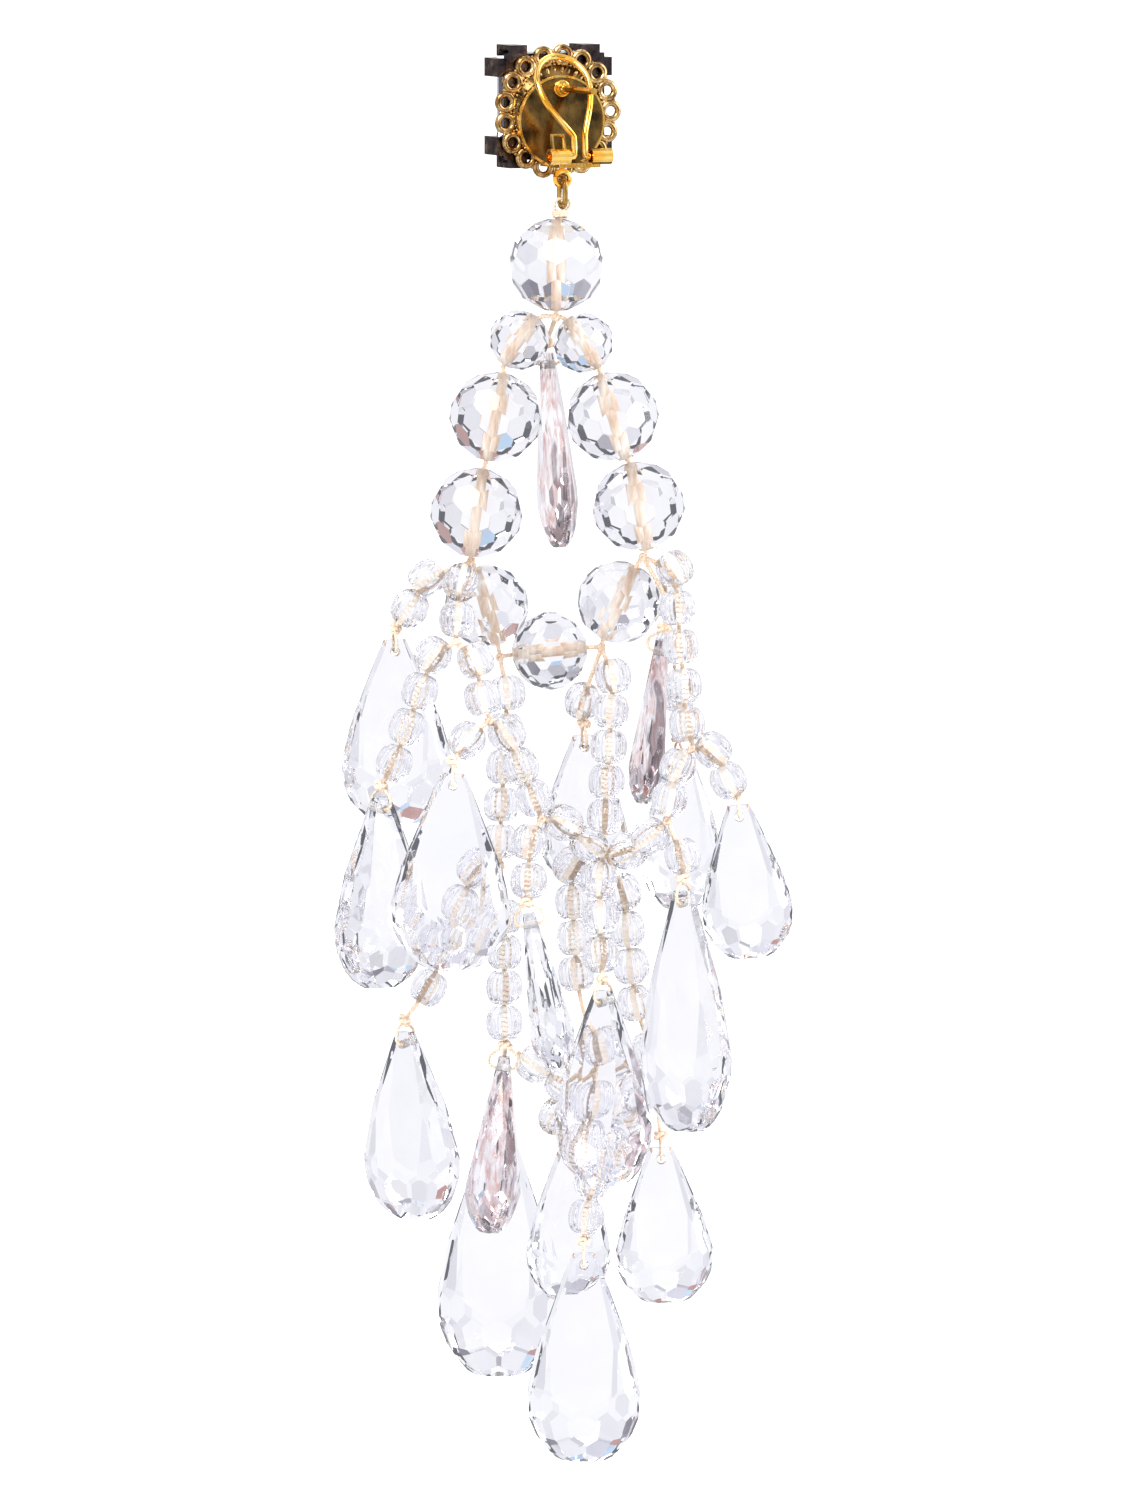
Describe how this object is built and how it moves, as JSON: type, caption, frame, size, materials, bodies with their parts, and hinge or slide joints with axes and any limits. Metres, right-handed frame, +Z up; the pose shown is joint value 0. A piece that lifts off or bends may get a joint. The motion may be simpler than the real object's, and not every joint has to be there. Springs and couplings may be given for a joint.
{
  "type": "clip-on chandelier earring",
  "caption": "Chandelier earring: a square stone over a pierced metal back with a hinged wire clip, and a hanging net of clear beads and faceted teardrops.",
  "frame": {"origin": "middle of the ear lobe on the line of the post, 2 mm behind the back plate's face", "axes": "+Z up as worn; +Y the way the stone faces, out from the wearer; -Y the clip side; X along the clip's hinge"},
  "size_m": [0.0587, 0.0367, 0.1854],
  "materials": {
    "clear_crystal": "clear, polished, faceted",
    "smoke_stone": "clear grey, polished, faceted",
    "bright_gold": "bright polished gold plate",
    "old_gold": "satin antique gold",
    "gunmetal": "dark satin plate",
    "cream_thread": "twisted cream thread"
  },
  "bodies": {
    "head": {"clip_back": "bright_gold", "filigree_back": "old_gold", "stone_cup": "gunmetal", "head_stone": "smoke_stone"},
    "clip": {"clip_loop": "bright_gold"},
    "drop": {"bead_bottom": "clear_crystal", "bead_left_1": "clear_crystal", "bead_left_2": "clear_crystal", "bead_left_3": "clear_crystal", "bead_left_4": "clear_crystal", "bead_right_1": "clear_crystal", "bead_right_2": "clear_crystal", "bead_right_3": "clear_crystal", "bead_right_4": "clear_crystal", "bead_top": "clear_crystal", "drop_back_hem": "clear_crystal", "drop_back_left": "clear_crystal", "drop_back_low": "clear_crystal", "drop_back_outer": "clear_crystal", "drop_back_right": "clear_crystal", "drop_centre": "clear_crystal", "drop_front_left": "clear_crystal", "drop_front_lower": "clear_crystal", "drop_inner_left": "clear_crystal", "drop_left_middle": "clear_crystal", "drop_left_upper": "clear_crystal", "drop_link": "bright_gold", "drop_lowest": "clear_crystal", "drop_middle": "clear_crystal", "drop_right_long": "clear_crystal", "drop_right_middle": "clear_crystal", "drop_right_outer": "clear_crystal", "drop_slender": "clear_crystal", "main_thread_left": "cream_thread", "main_thread_right": "cream_thread", "string_back_centre": "clear_crystal", "string_back_hem": "clear_crystal", "string_back_left": "clear_crystal", "string_back_low": "clear_crystal", "string_back_outer": "clear_crystal", "string_back_right": "clear_crystal", "string_centre": "clear_crystal", "string_centre_left": "clear_crystal", "string_centre_right": "clear_crystal", "string_front_left": "clear_crystal", "string_front_lower": "clear_crystal", "string_inner_left": "clear_crystal", "string_left_front": "clear_crystal", "string_left_inner": "clear_crystal", "string_left_outer": "clear_crystal", "string_middle": "clear_crystal", "string_right_inner": "clear_crystal", "string_right_middle": "clear_crystal", "string_right_outer": "clear_crystal", "string_swag": "clear_crystal"}
  },
  "joints": [
    {"name": "clip_hinge", "type": "hinge", "parent": "head", "child": "clip", "pos_m": [0, -0.0043, -0.0086], "axis": [1, 0, 0], "range_deg": [0, 95]},
    {"name": "drop_swing", "type": "hinge", "parent": "head", "child": "drop", "pos_m": [0, 0.0017, -0.0127], "axis": [1, 0, 0], "range_deg": [-30, 30]}
  ]
}
